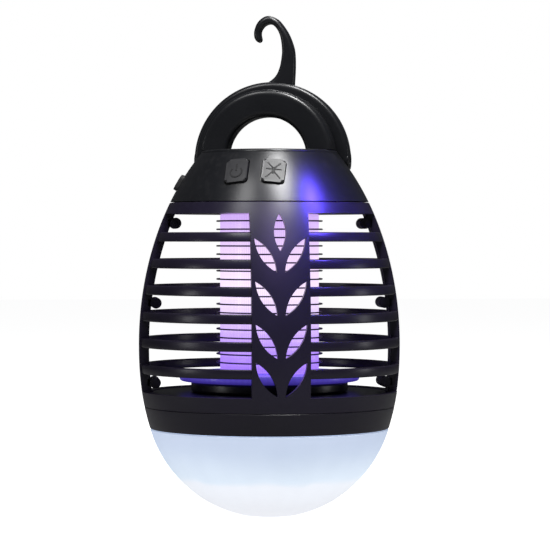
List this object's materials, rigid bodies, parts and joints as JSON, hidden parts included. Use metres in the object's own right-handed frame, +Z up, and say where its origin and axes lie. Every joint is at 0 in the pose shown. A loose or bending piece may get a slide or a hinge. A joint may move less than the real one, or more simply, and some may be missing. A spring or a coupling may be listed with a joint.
{
  "type": "electric bug zapper",
  "caption": "Egg-shaped hanging electric insect zapper with a slatted cage, high-voltage grid, lantern globe, carry arch and folding hook bail.",
  "frame": {"origin": "centre of the small flat that the lantern globe stands on", "axes": "+Z up along the lamp; -Y is the front of the cage, where its leaf panel is; the cage halves part in the XZ plane"},
  "size_m": [0.09, 0.09, 0.1725],
  "materials": {
    "shell": "satin black moulded plastic",
    "button": "soft black button plastic with raised icons",
    "rubber": "matt black rubber",
    "globe": "milky white diffusing plastic",
    "tube": "lit pink-violet diffuser",
    "disc": "blue-violet glowing disc",
    "wire": "drawn steel wire",
    "steel": "plated steel",
    "board": "green circuit board",
    "cell": "wrapped lithium cell",
    "potting": "black potting and component plastic"
  },
  "bodies": {
    "lamp_body": {"base_ring": "shell", "base_deck": "shell", "cage_front": "shell", "cage_rear": "shell", "core_pedestal": "shell", "grid_post_1": "shell", "grid_post_2": "shell", "core_holder": "shell", "top_housing": "shell", "housing_floor": "shell", "carry_arch": "shell", "globe_gasket": "rubber", "lantern_globe": "globe", "uv_light_tube": "tube", "glow_disc": "disc", "live_grid_wire": "wire", "return_grid_wire": "wire", "cage_screw_left_1": "steel", "cage_screw_left_2": "steel", "cage_screw_left_3": "steel", "cage_screw_right_1": "steel", "cage_screw_right_2": "steel", "cage_screw_right_3": "steel", "deck_screw_1": "steel", "board_screw_1": "steel", "holder_screw_1": "steel", "deck_screw_2": "steel", "board_screw_2": "steel", "holder_screw_2": "steel", "deck_screw_3": "steel", "board_screw_3": "steel", "holder_screw_3": "steel", "usb_socket": "steel", "bail_pin_left": "steel", "bail_pin_right": "steel", "lantern_board": "board", "uv_led_board": "board", "main_board": "board", "battery_cell": "cell", "high_voltage_module": "potting", "power_switch": "potting", "zapper_switch": "potting"},
    "hook_bail": {"hook_bail": "shell"},
    "power_button": {"power_button": "button"},
    "zapper_button": {"zapper_button": "button"},
    "usb_cover": {"usb_cover": "rubber"}
  },
  "joints": [
    {"name": "bail_fold", "type": "hinge", "parent": "lamp_body", "child": "hook_bail", "pos_m": [0.00166, 0.00618, 0.1224], "axis": [-0.9659, 0.2588, 0], "range_deg": [0, 75]},
    {"name": "power_press", "type": "slide", "parent": "lamp_body", "child": "power_button", "axis": [0.3858, 0.7412, -0.5493], "range_m": [0, 0.0006], "stiffness_N_per_m": 2500},
    {"name": "zapper_press", "type": "slide", "parent": "lamp_body", "child": "zapper_button", "axis": [0.0364, 0.8348, -0.5493], "range_m": [0, 0.0006], "stiffness_N_per_m": 2500},
    {"name": "usb_cover_swing", "type": "hinge", "parent": "lamp_body", "child": "usb_cover", "pos_m": [-0.02981, 0.01019, 0.1147], "axis": [-0.5027, 0.0796, -0.8608], "range_deg": [0, 110]}
  ]
}
